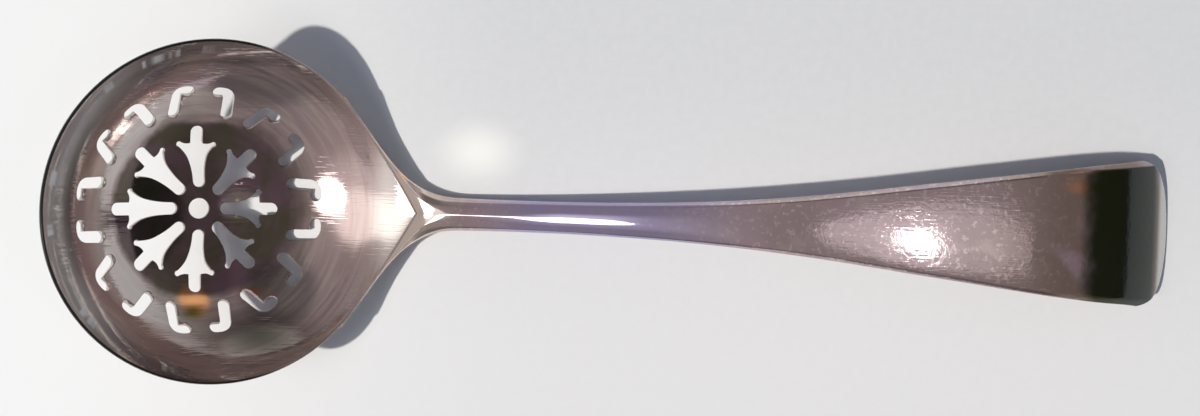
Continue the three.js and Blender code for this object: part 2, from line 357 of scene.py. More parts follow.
def spray_outline():
    lobe_round = (spray_end - lobe_half, 0)
    shaft_round = (spray_start + shaft_half, 0)
    barb = np.array([barb_reach, barb_half])
    waist = (waist_reach, waist_half)
    crotch = (crotch_reach - crotch_depth, (barb_half + lobe_half) / 2)
    side = np.vstack([
        arc(lobe_round, lobe_half, 0, 90),
        [(lobe_round[0], lobe_half)],
        quadratic((crotch_reach, lobe_half), crotch, barb + (barb_round, 0)),
        arc(barb, barb_round, 0, 180),
        quadratic(barb - (barb_round, 0), (waist_reach + barb_hollow, waist_half + barb_lift), waist),
        quadratic(waist, (waist_reach - waist_run, shaft_half), (shaft_round[0], shaft_half)),
        arc(shaft_round, shaft_half, 90, 180),
        [(spray_start, 0)],
    ])
    return np.vstack([side, (side[1:-1] * (1, -1))[::-1]])


def hook_outline():
    rounding = hook_stroke / 2
    elbow = hook_end - hook_stroke
    inside = hook_outer - hook_stroke
    corner = (hook_end, hook_outer)
    return np.vstack([
        [(elbow, inside)],
        arc((elbow + rounding, hook_inner + rounding), rounding, 180, 360),
        quadratic((hook_end, hook_outer - hook_bend), corner, (hook_end - hook_bend, hook_outer)),
        arc((hook_start + rounding, inside + rounding), rounding, 90, 270),
        [(hook_start + rounding, inside)],
    ])


def offset(outline, distance):
    ahead = np.roll(outline, -1, axis=0) - outline
    turned = unit(np.stack([ahead[:, 1], -ahead[:, 0]], axis=-1))
    before = np.roll(turned, 1, axis=0)
    corner = unit(turned + before)
    spread = np.sum(corner * turned, axis=-1, keepdims=True)
    return outline + corner * distance / np.maximum(spread, corner_limit)


def flared(name, outline):
    """Cutter whose sides slope outwards at both faces of the sheet."""
    past = 0.1 * MM
    levels = [
        (past, edge_flare + past),
        (-edge_flare, 0),
        (edge_flare - bowl_wall, 0),
        (-bowl_wall - past, edge_flare + past),
    ]
    rings = [np.c_[offset(outline, out), np.full(len(outline), level)] for level, out in levels]
    return place_object(name, skin(name, rings, True, True))


def piercing_tree():
    tree, given = geometry_tree("piercing", {
        "Blank Radius": "Float", "Sheet Thickness": "Float", "Spokes": "Int",
        "Eye": "Object", "Spray": "Object", "Hook": "Object", "Silver": "Material",
    })
    blank = add(tree, "GeometryNodeMeshCylinder", {
        "Vertices": blank_sides, "Side Segments": blank_layers, "Fill Segments": blank_rings,
        "Radius": given["Blank Radius"], "Depth": given["Sheet Thickness"],
    }, fill_type="TRIANGLE_FAN")
    sunk = add(tree, "ShaderNodeMath", {0: given["Sheet Thickness"], 1: -0.5}, operation="MULTIPLY")
    drop = add(tree, "ShaderNodeCombineXYZ", {"Z": sunk})
    sheet = add(tree, "GeometryNodeTransform", {"Geometry": blank, "Translation": drop})
    eye, spray, hook = (
        add(tree, "GeometryNodeObjectInfo", {"Object": given[label]}).outputs["Geometry"]
        for label in ("Eye", "Spray", "Hook")
    )
    mirrored = add(tree, "GeometryNodeTransform", {"Geometry": hook, "Scale": (1, -1, 1)})
    facing_out = add(tree, "GeometryNodeFlipFaces", {"Mesh": mirrored})
    motif = add(tree, "GeometryNodeJoinGeometry")
    for part in (spray, hook, facing_out.outputs[0]):
        tree.links.new(part, motif.inputs[0])
    places = add(tree, "GeometryNodePoints", {"Count": given["Spokes"]})
    number = add(tree, "GeometryNodeInputIndex")
    step = add(tree, "ShaderNodeMath", {0: math.tau, 1: given["Spokes"]}, operation="DIVIDE")
    angle = add(tree, "ShaderNodeMath", {0: number, 1: step}, operation="MULTIPLY")
    turn = add(tree, "ShaderNodeCombineXYZ", {"Z": angle})
    wheel = add(tree, "GeometryNodeInstanceOnPoints", {"Points": places, "Instance": motif, "Rotation": turn})
    cutters = add(tree, "GeometryNodeJoinGeometry")
    for part in (add(tree, "GeometryNodeRealizeInstances", {"Geometry": wheel}).outputs[0], eye):
        tree.links.new(part, cutters.inputs[0])
    cut = add(tree, "GeometryNodeMeshBoolean", {"Mesh 1": sheet, "Mesh 2": cutters},
              operation="DIFFERENCE", solver="EXACT")
    real = add(tree, "GeometryNodeRealizeInstances", {"Geometry": cut})
    faced = add(tree, "GeometryNodeSetMaterial", {"Geometry": real, "Material": given["Silver"]})
    add(tree, "NodeGroupOutput", {"Geometry": faced})
    return tree


def drifted(flat):
    """Places on the blank once the pattern has drifted to the front, which leaves the rim in place."""
    away = np.hypot(flat[:, 0], flat[:, 1])
    begun = smooth((away - drift_start) / (drift_end - drift_start))
    left = smooth((rim_arc - away) / (rim_arc - drift_stop))
    return flat - np.outer(piercing_drift * begun * left, (1, 0, 0))


def pierced_bowl(silver):
    """The pierced blank, raised to the dome and lip, with the true normals of its faces."""
    cutters = {
        "Eye": flared("eye_cutter", arc((0, 0), eye_radius, 0, 360, eye_sides)),
        "Spray": flared("spray_cutter", spray_outline()),
        "Hook": flared("hook_cutter", hook_outline()),
    }
    mesh = grown("raised_bowl", piercing_tree(), {
        "Blank Radius": rim_arc, "Sheet Thickness": bowl_wall, "Spokes": spokes, "Silver": silver, **cutters,
    })
    for cutter in cutters.values():
        bpy.data.objects.remove(cutter)
    flat = drifted(triples(mesh.vertices, "co"))
    turn = np.arctan2(flat[:, 1], flat[:, 0])
    share = np.clip(np.hypot(flat[:, 0], flat[:, 1]) / rim_arc, 0, 1)
    depth = np.clip(-flat[:, 2] / bowl_wall, 0, 1)
    at_rim = share > 1 - rim_gap
    normal, along = outwards(turn, share)
    bulge = np.where(at_rim, rim_round * np.sin(math.pi * depth), 0)
    raised = hollow(turn, share) + normal * (wall_at(share) * depth)[:, None] + along * bulge[:, None]
    raised = tipped(raised)
    worn = raised[:, 2] < 0
    raised[worn, 2] = 0
    mesh.vertices.foreach_set("co", raised.ravel())
    mesh.update()
    across = np.where(at_rim, math.pi * depth, math.pi * np.round(depth))[:, None]
    facing = tipped(along * np.sin(across) * at_rim[:, None] - normal * np.cos(across), True)
    facing[worn] = (0, 0, -1)
    shade_by(mesh, facing, at_rim, depth)
    return place_object("raised_bowl", mesh)


def shade_by(mesh, facing, at_rim, depth):
    """Own normals: the true ones on the bowl's faces and rim, averaged ones in the piercing."""
    corners = numbers(mesh.loops, "vertex_index")
    starts = numbers(mesh.polygons, "loop_start")
    face_of = np.repeat(np.arange(len(starts)), numbers(mesh.polygons, "loop_total"))
    normals = triples(mesh.polygons, "normal")[face_of]
    on_face = (depth < face_gap) | (depth > 1 - face_gap)
    level = np.minimum.reduceat(depth[corners], starts) == np.maximum.reduceat(depth[corners], starts)
    broad = np.logical_and.reduceat(on_face[corners], starts) & level
    polished = (broad | np.logical_and.reduceat(at_rim[corners], starts))[face_of]
    summed = np.zeros((len(mesh.vertices), 3))
    np.add.at(summed, corners[~polished], normals[~polished])
    walls = summed / np.maximum(length(summed), no_gap)
    custom = np.where((polished | on_face[corners])[:, None], facing[corners], walls[corners])
    mesh.shade_smooth()
    mesh.normals_split_custom_set(custom.tolist())


# The handle: a spine, sections along it, and a fork that runs out along the lip's edge

tip_place = tipped(lip_edge(np.array(1.0)))
neck_start = np.array([tip_place[0] - neck_overlap, 0, tip_place[2] - thicknesses[0] / 2])
crest = np.array([crest_reach, 0, crest_height])
end_drop = np.array([math.cos(end_angle), 0, -math.sin(end_angle)])
handle_end = np.array([handle_reach, 0, edge_radius / 2 * math.cos(end_angle) - end_wear])


def spine_line():
    share = np.linspace(0, 1, spine_steps)
    rise = np.array([math.cos(neck_angle), 0, math.sin(neck_angle)])
    climb = bezier(neck_start, neck_start + rise * neck_pull, crest - (climb_pull, 0, 0), crest, share)
    turn = bezier(crest, crest + (turn_pull, 0, 0), handle_end - end_drop * end_pull, handle_end, share)
    line = np.vstack([climb, turn[1:]])
    lengths = np.r_[0, np.cumsum(length(np.diff(line, axis=0)))]
    return line, lengths, unit(np.gradient(line, lengths, axis=0))


spine, spine_lengths, spine_headings = spine_line()
handle_length = spine_lengths[-1]
fork_end = neck_overlap + fork_length


def on_spine(values, along):
    return np.stack([np.interp(along, spine_lengths, values[:, k]) for k in range(3)], axis=-1)


# One ring: how far across each point is, and whether it is above the middle, on it or below
ring_turns = np.arange(ring_sides) / ring_sides * math.tau
ring_across = np.cos(ring_turns)
ring_up = np.sign(np.round(np.sin(ring_turns), decimals=9))


def fullness(power):
    return np.maximum(0, 1 - np.abs(ring_across) ** power) ** (1 / power)


def section(along):
    """One ring round the handle; near the end it bends to the rounded outline."""
    share = along / handle_length
    half = between(width_places, half_widths, share)
    to_end = np.clip((along - handle_length) / edge_radius + 1, 0, 1)
    thin = max(end_thinnest, math.sqrt(1 - to_end**2))
    depth = between(thickness_places, thicknesses, share) / 2 * thin
    bend = np.clip((along - (handle_length - end_blend)) / end_blend, 0, 1) ** 2
    across = half * ring_across
    round_up = depth * fullness(between(squareness_places, squareness, share))
    to_edge = half * (1 - np.abs(ring_across))
    bevel = min(bevel_drop, depth / 2) * np.clip(1 - to_edge / bevel_width, 0, 1)
    flat_up = (depth - bevel) * fullness(bevel_squareness)
    flat_up = flat_up - (ring_up > 0) * min(crown, depth / 3) * ring_across**2
    up = ring_up * mix(round_up, flat_up, smooth((share - bevel_from) / (bevel_full - bevel_from)))
    place = np.maximum(0, along - bend * end_rounding * (1 - fullness(end_squareness)))
    run = on_spine(spine_headings, place)
    ridge_left = smooth(1 - (along - fork_end) / ridge_length)
    ridge = ridge_height * (1 - np.abs(ring_across)) ** ridge_sharpness * ridge_left
    up = up + np.where(ring_up > 0, ridge, 0)
    return on_spine(spine, place) + np.stack([-run[:, 2] * up, across, run[:, 0] * up], axis=-1)


def seat(height):
    """Ring against the bowl: from its lowest line (-1) past the back corner (0) to the lip's edge (1)."""
    turn = arm_turn * np.sign(ring_across) * np.abs(ring_across) ** arm_spacing
    aside = np.clip(np.abs(rim_radius * np.sin(turn)) / drop_half, 0, 1)
    lowest = fullness(drop_squareness) * (arm_depth / rim_arc + drop_share * np.sqrt(1 - aside**2))
    share = 1 - lowest * np.maximum(0, -height)
    raised = (fullness(arm_squareness) * np.maximum(0, height))[:, None]
    normal, along = outwards(turn, share)
    depth = 1 - (1 - arm_top) * raised
    behind = wall_at(share)[:, None] * depth + solder_film * (1 - raised)
    beyond = rim_round * np.sin(math.pi * depth) + solder_film * raised
    return tipped(hollow(turn, share) + normal * behind + along * beyond)


def fork_rings():
    """Rings that lead from the seat on the bowl to the first section of the stem."""
    middle = seat(0)
    top = seat(1) - middle
    low = seat(-1) - middle
    start_offset = np.where((ring_up > 0)[:, None], top, np.where((ring_up < 0)[:, None], low, 0))
    half = between(width_places, half_widths, fork_end / handle_length)
    target = on_spine(spine, fork_end) + np.outer(half * ring_across, (0, 1, 0))
    end_offset = section(fork_end) - target
    order = np.argsort(ring_across)
    edge_run = np.empty_like(middle)
    edge_run[order] = np.gradient(middle[order], axis=0)
    edge_run = unit(edge_run) * -np.sign(ring_across + no_gap)[:, None]
    aside = np.abs(ring_across)[:, None] ** flank_sharpness
    distance = length(target - middle)
    leave = unit(mix(unit(target - middle), edge_run, aside))
    leave = leave * mix(leave_share * distance, shoulder_pull, aside)
    arrive = on_spine(spine_headings, fork_end) * mix(arrive_share * distance, fillet_pull, aside)
    rings = []
    for share in np.linspace(0, 1, fork_rows, endpoint=False):
        line = bezier(middle, middle + leave, target - arrive, target, share)
        rings.append(line + mix(start_offset, end_offset, smooth(share)))
    return rings


def forked_handle():
    heights = np.linspace(0, 1, seat_rows, endpoint=False)
    stations = 1 - (1 - np.linspace(0, 1, handle_rows)) ** end_crowding
    seated = [seat(np.where(ring_up > 0, height, -height)) for height in heights]
    forged = [section(along) for along in mix(fork_end, handle_length, stations)]
    rings = np.array(seated + fork_rings() + forged)
    rings[..., 2] = np.maximum(rings[..., 2], 0)
    mesh = skin("forked_handle_metal", rings, False, True)
    mesh.shade_smooth()
    mesh.set_sharp_from_angle(angle=crease)
    return place_object("forked_handle_metal", mesh)


def bead_tree():
    tree, given = geometry_tree("solder_bead", {"Bead Radius": "Float", "Solder": "Material"})
    path = add(tree, "GeometryNodeMeshToCurve", {"Mesh": given["Geometry"]})
    profile = add(tree, "GeometryNodeCurvePrimitiveCircle", {
        "Resolution": bead_sides, "Radius": given["Bead Radius"],
    })
    bead = add(tree, "GeometryNodeCurveToMesh", {"Curve": path, "Profile Curve": profile.outputs["Curve"]})
    real = add(tree, "GeometryNodeRealizeInstances", {"Geometry": bead})
    faced = add(tree, "GeometryNodeSetMaterial", {"Geometry": real, "Material": given["Solder"]})
    add(tree, "NodeGroupOutput", {"Geometry": faced})
    return tree


def solder_bead(solder):
    """Bead of solder round the outline of the fork's seat on the bowl."""
    ring = seat(ring_up)
    path = bpy.data.meshes.new("seam_path")
    edges = [(k, (k + 1) % ring_sides) for k in range(ring_sides)]
    path.from_pydata(ring.tolist(), edges, [])
    mesh = grown("solder_bead", bead_tree(), {"Bead Radius": bead_radius, "Solder": solder}, path)
    mesh.shade_smooth()
    return place_object("solder_bead", mesh)


# Finishes: a tone is a colour and its strength, a patch is a middle and half lengths in
# millimetres, a stretch is where a tone starts and where it is full, in millimetres too,
# and a cut is the same for the height of a grain

def colour(red, green, blue):
    return (red, green, blue, 1)


def finish_tree(name):
    material = bpy.data.materials.new(name)
    material.use_nodes = True
    tree = material.node_tree
    tree.nodes.clear()
    return material, tree


def blended(tree, share, first, second):
    node = add(tree, "ShaderNodeMix", {0: share, 6: first, 7: second}, data_type="RGBA")
    return node.outputs[2]


def graded(tree, value, span, first=0.0, second=1.0):
    """Smooth change from one value to another while the input crosses a span."""
    low, high = span
    return add(tree, "ShaderNodeMapRange", {0: value, 1: low, 2: high, 3: first, 4: second},
               interpolation_type="SMOOTHSTEP").outputs[0]


def crossed(tree, value, stretch, first=0.0, second=1.0):
    """The same for a length that crosses a stretch."""
    start, full = stretch
    return graded(tree, value, (start * MM, full * MM), first, second)


def grain(tree, place, scale, detail=4.0, roughness=0.55, distortion=0.0):
    return add(tree, "ShaderNodeTexNoise", {
        "Vector": place, "Scale": scale, "Detail": detail, "Roughness": roughness, "Distortion": distortion,
    }).outputs["Fac"]


def placed(tree, location=(0, 0, 0), rotation=(0, 0, 0), scale=(1, 1, 1), kind="POINT"):
    source = add(tree, "ShaderNodeTexCoord").outputs["Object"]
    return add(tree, "ShaderNodeMapping", {
        "Vector": source, "Location": location, "Rotation": rotation, "Scale": scale,
    }, vector_type=kind).outputs[0]


def split(tree, vector):
    return add(tree, "ShaderNodeSeparateXYZ", {"Vector": vector}).outputs


def size_of(tree, vector):
    return add(tree, "ShaderNodeVectorMath", {0: vector}, operation="LENGTH").outputs["Value"]


def chain(tree, operation, values):
    total = values[0]
    for value in values[1:]:
        total = add(tree, "ShaderNodeMath", {0: total, 1: value}, operation=operation).outputs[0]
    return total


def sum_of(tree, *values):
    return chain(tree, "ADD", values)


def product(tree, *values):
    return chain(tree, "MULTIPLY", values)


def spot(tree, place, patch):
    """Share that is 1 in the middle of an oval patch and fades to 0 at its edge."""
    (x, y), (half_long, half_wide) = patch
    middle = (x * MM, y * MM, 0)
    radii = (half_long * MM, half_wide * MM, 1)
    moved = add(tree, "ShaderNodeVectorMath", {0: place, 1: middle}, operation="SUBTRACT").outputs[0]
    scaled = add(tree, "ShaderNodeVectorMath", {0: moved, 1: radii}, operation="DIVIDE").outputs[0]
    return graded(tree, size_of(tree, scaled), (1, 0))


def laid_over(tree, shade, tones, shares):
    """The tones laid over a shade one after another, each with its share of the surface."""
    for name, share in shares.items():
        tone, strength = tones[name]
        shade = blended(tree, product(tree, share, strength), shade, tone)
    return shade


# Scratches: shift of each further direction, how much longer than wide they are, and their cut
scratch_shift = 0.37
scratch_thinness = 24
scratch_cut = (0.56, 0.74)


def scratches(tree, angles, scale, depth):
    """Fine scratches in several directions, as one height."""
    heights = []
    for number, angle in enumerate(angles):
        shift = (number * scratch_shift, 0, 0)
        across = placed(tree, shift, (0, 0, math.radians(angle)), (1, scratch_thinness, 1))
        lines = graded(tree, grain(tree, across, scale, detail=2.0), scratch_cut)
        heights.append(product(tree, lines, depth))
    return sum_of(tree, *heights)


# Share of a mirror in the silver, which the bowl's painted pale rim, dashes and glint lower
polish = 0.82


def metal(tree, shade, roughness, height, strength, distance, metallic=polish):
    bump = add(tree, "ShaderNodeBump", {"Height": height, "Strength": strength, "Distance": distance})
    shader = add(tree, "ShaderNodeBsdfPrincipled", {
        "Base Color": shade, "Roughness": roughness, "Metallic": metallic, "Normal": bump,
    })
    add(tree, "ShaderNodeOutputMaterial", {"Surface": shader})


# Bowl: tones in the order in which they lie over one another, many of them painted reflections, highlights
# and shade
bowl_brown = colour(0.44, 0.355, 0.32)
bowl_mauve = colour(0.52, 0.41, 0.43)
bowl_tones = {
    "streaks": (colour(0.63, 0.55, 0.50), 1),
    "olive_streaks": (colour(0.27, 0.25, 0.19), 0.55),
    # painted light: the left part of the rim painted paler, as it shows lit
    "painted_light_rim": (colour(0.92, 0.85, 0.78), 0.9),
    # painted reflections: pale dashes along the left rim, where the piercing shows in its mirror
    "painted_dash_reflections": (colour(1.0, 0.97, 0.93), 1),
    # painted dark reflection: the lower side of the bowl darkened
    "painted_dark_lower_side": (colour(0.30, 0.23, 0.205), 0.5),
    # painted dark reflection: a near-black patch low on the right of the hollow
    "painted_dark_reflection_patch": (colour(0.07, 0.06, 0.05), 0.95),
    # painted sheen: the right part of the hollow lightened and made pinker, less so low down
    "painted_sheen": (colour(0.82, 0.64, 0.61), 1),
    # painted highlight: the lip painted nearly white
    "lip": (colour(1.0, 0.93, 0.88), 0.9),
    # painted reflection: a grey ring on the left, where the hollow mirrors the pale table
    "painted_ring_reflection": (colour(0.66, 0.65, 0.61), 0.55),
    # painted dark reflection: an olive patch just below the painted glint
    "painted_olive_reflection": (colour(0.11, 0.10, 0.03), 1),
    # a reddish spot near the lower right hook
    "reddish_tint": (colour(0.5, 0.2, 0.1), 0.6),
    # painted glint: a bright orange streak between the two lower hooks, which also mirrors less
    "painted_glint": (colour(1.0, 0.75, 0.50), 1),
    # painted shade: a near-black outline along the rim's edge
    "edge": (colour(0.03, 0.028, 0.025), 1),
}
# painted dark reflection: colours of the dark disc between the sprays
disc_reflection_olive = colour(0.09, 0.08, 0.05)
disc_reflection_purple = colour(0.16, 0.10, 0.13)
disc_strength = 0.9

# Bowl: patches, and stretches along it, aside and away from its axis, in its own frame
# painted dark reflection, low on the right of the bowl
painted_dark_reflection_patch = ((6.5, -18.0), (11, 5.5))
# painted dark reflection below the glint
olive_reflection_patch = ((-1.8, -14.7), (3.4, 1.8))
reddish_patch = ((7.2, -12.2), (3.5, 1.2))
# painted glint
glint_patch = ((-1.5, -13.1), (4.6, 1.0))
left_stretch = (2, -12)
pale_stretch = (-6, -18)
lower_stretch = (-12, -18)
# where the painted sheen lies, and how strong it is
sheen_along, sheen_aside = (12, 19), (-12, -3)
sheen_weakest, sheen_strongest = 0.1, 0.6
lip_highlight_stretch = (21.5, 24.0)
outer_stretch = (18.5, 21.5)
dash_start, dash_stop = (21.9, 22.4), (23.3, 22.9)
ring_start, ring_stop = (12.5, 14.5), (18.5, 17.0)
edge_stretch = (23.58, 23.66)

# Bowl: the painted dark outline along the rim's edge ends towards the lip, and the hollow's tones end this
# deep in the wall
edge_span = (0.45, 0.15)
hollow_stretch = (0.4, 0.2)

# Bowl: the painted dark reflection between the sprays, a disc ragged at its edge and wider at the right
disc_full, disc_end = 12.2 * MM, 13.5 * MM
disc_ragged = 3 * MM
disc_wider, disc_right = 3.5 * MM, (0, 12)

# Bowl: cuts, and how much faster the streaks change away from the axis than round it
streak_rate = 900
brown_cut = (0.35, 0.65)
streak_cut, olive_cut = (0.42, 0.66), (0.47, 0.38)
dash_cut = (0.54, 0.62)
disc_cut = (0.40, 0.62)

# Bowl: polish, smoother beyond the hooks, with the painted light of the pale rim, dashes and glint mirroring
# less
bowl_roughness, bowl_grain_roughness = 0.02, 0.06
smooth_stretch, outer_smoothness = (18.5, 20.5), 0.3
pale_matte, dash_matte, glint_matte = 0.38, 0.5, 0.3
bowl_scratch_turns, bowl_scratch_depth = (12, 71, 128), 0.5
bowl_fine_depth = 0.3


def bowl_directions(tree):
    """Place in the bowl's own frame, way and distance from its axis, and share on the hollow's side."""
    own = placed(tree, tuple(dome_centre), (0, bowl_tilt, 0), kind="TEXTURE")
    x, y, _ = split(tree, own)
    flat = add(tree, "ShaderNodeCombineXYZ", {"X": x, "Y": y})
    way = add(tree, "ShaderNodeVectorMath", {0: flat}, operation="NORMALIZE").outputs[0]
    depth = sum_of(tree, size_of(tree, own), -inner_radius)
    return own, way, size_of(tree, flat), crossed(tree, depth, hollow_stretch)


# painted dark reflection: a disc between the sprays
def painted_dark_disc(tree, shade, x, away, mottle, inside):
    ragged = sum_of(tree, away, product(tree, mottle, disc_ragged), -disc_ragged / 2)
    start = sum_of(tree, product(tree, crossed(tree, x, disc_right), disc_wider), disc_end)
    share = product(tree, graded(tree, ragged, (start, disc_full)), inside, disc_strength)
    dark = blended(tree, graded(tree, mottle, disc_cut), disc_reflection_olive, disc_reflection_purple)
    return blended(tree, share, shade, dark)


def bowl_silver():
    """Toned silver, greyer beyond the hooks and streaked towards the rim, with painted light: a dark
    reflection between the sprays, other painted reflections, highlights, sheen and shade.
    """
    material, tree = finish_tree("toned_bowl_silver_with_painted_reflections")
    own, way, away, inside = bowl_directions(tree)
    x, y, _ = split(tree, own)
    way_x, way_y, _ = split(tree, way)
    outwards_fast = product(tree, away, streak_rate)
    ringed = add(tree, "ShaderNodeCombineXYZ", {"X": way_x, "Y": way_y, "Z": outwards_fast})
    streaks = grain(tree, ringed, scale=1.6, detail=5.0, roughness=0.6, distortion=0.4)
    mottle = grain(tree, placed(tree), scale=140, roughness=0.6, distortion=0.3)
    broad = grain(tree, placed(tree, (0.3, 0, 0)), scale=60, detail=3.0, roughness=0.5, distortion=0.6)
    marks = grain(tree, way, scale=7, detail=2.0)
    fine = grain(tree, placed(tree), scale=900)

    outer = crossed(tree, away, outer_stretch)
    at_left = crossed(tree, x, left_stretch)
    # painted light on the left part of the rim
    painted_light_rim = product(tree, crossed(tree, x, pale_stretch), outer, inside)
    band = product(tree, crossed(tree, away, dash_start), crossed(tree, away, dash_stop), inside)
    # painted reflections of the piercing, as pale dashes on the left rim
    painted_dash_reflections = product(tree, band, graded(tree, marks, dash_cut), at_left)
    # painted reflection of the table, as a grey ring on the left
    ring = product(tree, crossed(tree, away, ring_start), crossed(tree, away, ring_stop), at_left)
    painted_sheen = crossed(tree, y, sheen_aside, sheen_weakest, sheen_strongest)
    painted_glint = product(tree, spot(tree, own, glint_patch), inside)

    shade = blended(tree, graded(tree, broad, brown_cut), bowl_brown, bowl_mauve)
    shade = laid_over(tree, shade, bowl_tones, {
        "streaks": graded(tree, streaks, streak_cut),
        "olive_streaks": product(tree, graded(tree, streaks, olive_cut), outer),
        "painted_light_rim": painted_light_rim,
        "painted_dash_reflections": painted_dash_reflections,
        "painted_dark_lower_side": crossed(tree, y, lower_stretch),
        "painted_dark_reflection_patch": spot(tree, own, painted_dark_reflection_patch),
        "painted_sheen": product(tree, crossed(tree, x, sheen_along), painted_sheen),
        "lip": crossed(tree, x, lip_highlight_stretch),
        "painted_ring_reflection": ring,
    })
    shade = painted_dark_disc(tree, shade, x, away, mottle, inside)
    shade = laid_over(tree, shade, bowl_tones, {
        "painted_olive_reflection": spot(tree, own, olive_reflection_patch),
        "reddish_tint": spot(tree, own, reddish_patch),
        "painted_glint": painted_glint,
        "edge": product(tree, crossed(tree, away, edge_stretch), graded(tree, way_x, edge_span)),
    })

    smoother = crossed(tree, away, smooth_stretch, 1.0, outer_smoothness)
    grained = product(tree, sum_of(tree, mottle, streaks), smoother, bowl_grain_roughness)
    roughness = sum_of(tree, grained, bowl_roughness)
    lines = scratches(tree, bowl_scratch_turns, scale=150, depth=bowl_scratch_depth)
    height = sum_of(tree, lines, product(tree, fine, bowl_fine_depth))
    dulled = ((painted_light_rim, pale_matte), (painted_dash_reflections, dash_matte), (painted_glint, glint_matte))
    matte = sum_of(tree, *(product(tree, share, dulling) for share, dulling in dulled))
    metallic = sum_of(tree, polish, product(tree, matte, -1))
    metal(tree, shade, roughness, height, strength=0.25, distance=0.03 * MM, metallic=metallic)
    return material


# Handle: tones in the order in which they lie over one another, some of them painted highlights and
# reflections
handle_mauve = colour(0.48, 0.38, 0.38)
handle_rose = colour(0.58, 0.46, 0.49)
handle_tones = {
    "worn": (colour(0.66, 0.58, 0.54), 0.5),
    "flecks": (colour(0.90, 0.78, 0.76), 0.45),
    # painted sheen: the neck lightened where it shows bright
    "painted_neck_sheen": (colour(0.68, 0.57, 0.51), 0.8),
    # painted highlight: the shoulders painted nearly white
    "painted_shoulder_highlights": (colour(1.0, 0.87, 0.77), 1),
    # painted reflection: a bluish violet band along the stem
    "painted_stem_reflection": (colour(0.42, 0.39, 0.62), 0.8),
    "orange": (colour(0.62, 0.30, 0.16), 0.8),
    # painted reflection: a pale band at the very end of the handle
    "painted_end_band": (colour(0.62, 0.62, 0.60), 1),
}
stain_brown = colour(0.20, 0.14, 0.09)
stain_mauve = colour(0.40, 0.30, 0.37)
stain_strength, stain_mottle = 0.55, 0.2
# painted dark reflection at the turned end of the handle
end_reflection_olive = colour(0.045, 0.052, 0.022)
end_reflection_slate = colour(0.032, 0.042, 0.036)
end_strength = 0.97

# Handle: patch and stretches along it
orange_patch = ((108.3, 6.4), (3.2, 1.6))
neck_stretch = (23.5, 17.5)
shoulder_stretch = (17.5, 15.5)
stem_start, stem_stop = (22, 34), (68, 48)
stain_stretch, stain_growth = (94, 100), (96, 108)
end_start, end_stop = (108.0, 111.5), (122.5, 120.5)
slate_stretch = (114.5, 116.0)
band_stretch = (121.5, 122.5)

# Handle: the painted dark reflection at the end is ragged at its start, keeps to the top and stops at the
# inner line of the bevel
end_ragged = 4 * MM
upright_span = (-0.05, 0.05)
bevel_line_slope, bevel_line_shift = -0.08, 0.12 * MM
bevel_line_stretch = (0.1, -0.1)

# Handle: cuts
rose_cut = (0.35, 0.65)
worn_cut = (0.5, 0.68)
fleck_cut = (0.55, 0.68)
stain_cut = (0.42, 0.56)

# Handle: polish, rougher and more scratched on the blade than on the stem
handle_roughness, handle_grain_roughness = 0.035, 0.04
blade_stretch, blade_roughness = (50, 80), 0.03
handled_stretch, stem_scratched = (45, 80), 0.12
handle_scratch_turns, handle_scratch_depth = (8, 52, 97, 141), 0.1
handle_fine_depth = 0.8


# painted dark reflection on the top of the turned end
def painted_dark_end(tree, shade, along, aside, mottle):
    ragged = sum_of(tree, along, product(tree, mottle, end_ragged), -end_ragged / 2)
    at_end = product(tree, crossed(tree, ragged, end_start), crossed(tree, along, end_stop))
    past_line = sum_of(tree, aside, product(tree, along, bevel_line_slope), bevel_line_shift)
    upright = split(tree, add(tree, "ShaderNodeTexCoord").outputs["Normal"])["Z"]
    on_top = graded(tree, upright, upright_span)
    share = product(tree, at_end, crossed(tree, past_line, bevel_line_stretch), on_top, end_strength)
    dark = blended(tree, crossed(tree, along, slate_stretch), end_reflection_olive, end_reflection_slate)
    return blended(tree, share, shade, dark)


